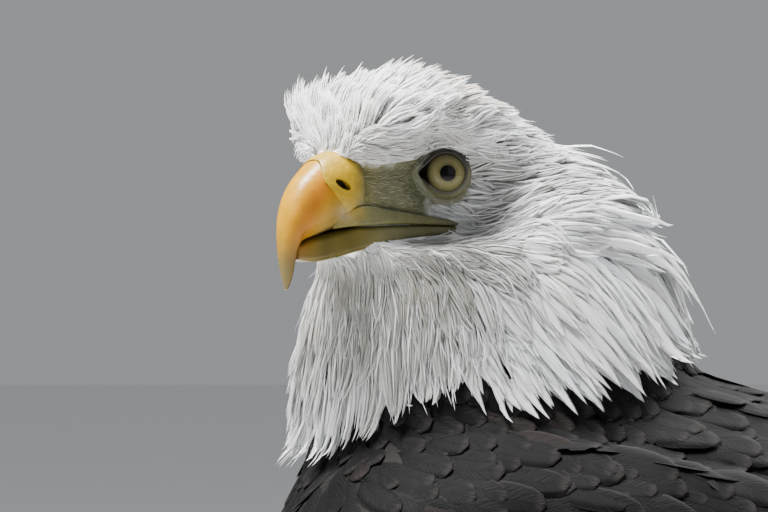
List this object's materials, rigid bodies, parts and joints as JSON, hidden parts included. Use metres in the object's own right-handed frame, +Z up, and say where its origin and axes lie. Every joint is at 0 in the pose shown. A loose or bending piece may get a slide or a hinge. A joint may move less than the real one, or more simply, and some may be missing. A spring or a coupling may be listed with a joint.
{
  "type": "bald eagle, life-size model",
  "caption": "Life-size standing bald eagle with folded wings and its head turned to its left: a still museum model with white head and tail, dark brown body and hooked yellow bill.",
  "frame": {"origin": "on the floor, under the middle of the whole bird's bounding box", "axes": "+Z up; the bird faces -X and its left side is -Y; its head is turned 43 degrees to its left"},
  "size_m": [0.6004, 0.2624, 0.6431],
  "materials": {
    "white_feathers": "soft matte white feathers",
    "brown_feathers": "matte dark brown contour feathers with paler edges",
    "flight_feathers": "slightly glossy blackish brown flight feathers",
    "bill_horn": "satin yellow-orange horn",
    "cere_skin": "smooth yellow skin",
    "foot_skin": "scaly yellow skin",
    "claw_horn": "satin black horn",
    "eye": "clear wet cornea over a pale yellow iris"
  },
  "bodies": {
    "root": {"bill_upper": "bill_horn", "cere": "cere_skin", "bill_lower": "bill_horn", "eye_left": "eye", "eye_right": "eye", "head": "white_feathers", "neck": "white_feathers", "trunk": "brown_feathers", "wing_coverts_left": "brown_feathers", "wing_secondaries_left": "flight_feathers", "wing_primaries_left": "flight_feathers", "wing_coverts_right": "brown_feathers", "wing_secondaries_right": "flight_feathers", "wing_primaries_right": "flight_feathers", "tail": "white_feathers", "thigh_left": "brown_feathers", "shank_left": "foot_skin", "toe_outer_left": "foot_skin", "claw_outer_left": "claw_horn", "toe_middle_left": "foot_skin", "claw_middle_left": "claw_horn", "toe_inner_left": "foot_skin", "claw_inner_left": "claw_horn", "toe_hallux_left": "foot_skin", "claw_hallux_left": "claw_horn", "thigh_right": "brown_feathers", "shank_right": "foot_skin", "toe_outer_right": "foot_skin", "claw_outer_right": "claw_horn", "toe_middle_right": "foot_skin", "claw_middle_right": "claw_horn", "toe_inner_right": "foot_skin", "claw_inner_right": "claw_horn", "toe_hallux_right": "foot_skin", "claw_hallux_right": "claw_horn"}
  },
  "joints": []
}
